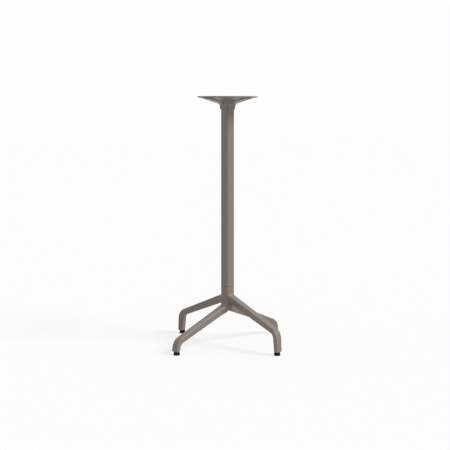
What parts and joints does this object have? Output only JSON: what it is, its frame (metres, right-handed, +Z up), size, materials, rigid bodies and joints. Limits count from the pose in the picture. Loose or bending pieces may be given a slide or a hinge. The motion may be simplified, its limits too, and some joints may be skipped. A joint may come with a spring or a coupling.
{
  "type": "high table base",
  "caption": "Bar-height table base: round top flange on curved arms, square column standing on its corner, bent cast legs on levelling glides.",
  "frame": {"origin": "on the floor, below the middle of the column", "axes": "+Z up along the column; the legs point along the diagonals of X and Y, and the column's corners along X and Y"},
  "size_m": [0.4432, 0.4432, 1.05],
  "materials": {
    "powder_coat": "matt, fine-textured taupe powder coat on cast and extruded aluminium",
    "zinc_steel": "zinc-plated",
    "black_plastic": "matt moulded nylon"
  },
  "bodies": {
    "base": {"top_flange": "powder_coat", "column_tube": "powder_coat", "leg_base": "powder_coat", "tie_rod": "zinc_steel", "top_nut": "zinc_steel", "top_washer": "zinc_steel", "bottom_nut": "zinc_steel", "bottom_washer": "zinc_steel", "end_bush_back_right": "black_plastic", "end_bush_back_left": "black_plastic", "end_bush_front_left": "black_plastic", "end_bush_front_right": "black_plastic"},
    "glide_back_right": {"glide_stem_back_right": "zinc_steel", "glide_pad_back_right": "black_plastic"},
    "glide_back_left": {"glide_stem_back_left": "zinc_steel", "glide_pad_back_left": "black_plastic"},
    "glide_front_left": {"glide_stem_front_left": "zinc_steel", "glide_pad_front_left": "black_plastic"},
    "glide_front_right": {"glide_stem_front_right": "zinc_steel", "glide_pad_front_right": "black_plastic"}
  },
  "joints": [
    {"name": "level_back_right", "type": "slide", "parent": "base", "child": "glide_back_right", "axis": [0, 0, -1], "range_m": [0, 0.01]},
    {"name": "level_back_left", "type": "slide", "parent": "base", "child": "glide_back_left", "axis": [0, 0, -1], "range_m": [0, 0.01]},
    {"name": "level_front_left", "type": "slide", "parent": "base", "child": "glide_front_left", "axis": [0, 0, -1], "range_m": [0, 0.01]},
    {"name": "level_front_right", "type": "slide", "parent": "base", "child": "glide_front_right", "axis": [0, 0, -1], "range_m": [0, 0.01]}
  ]
}
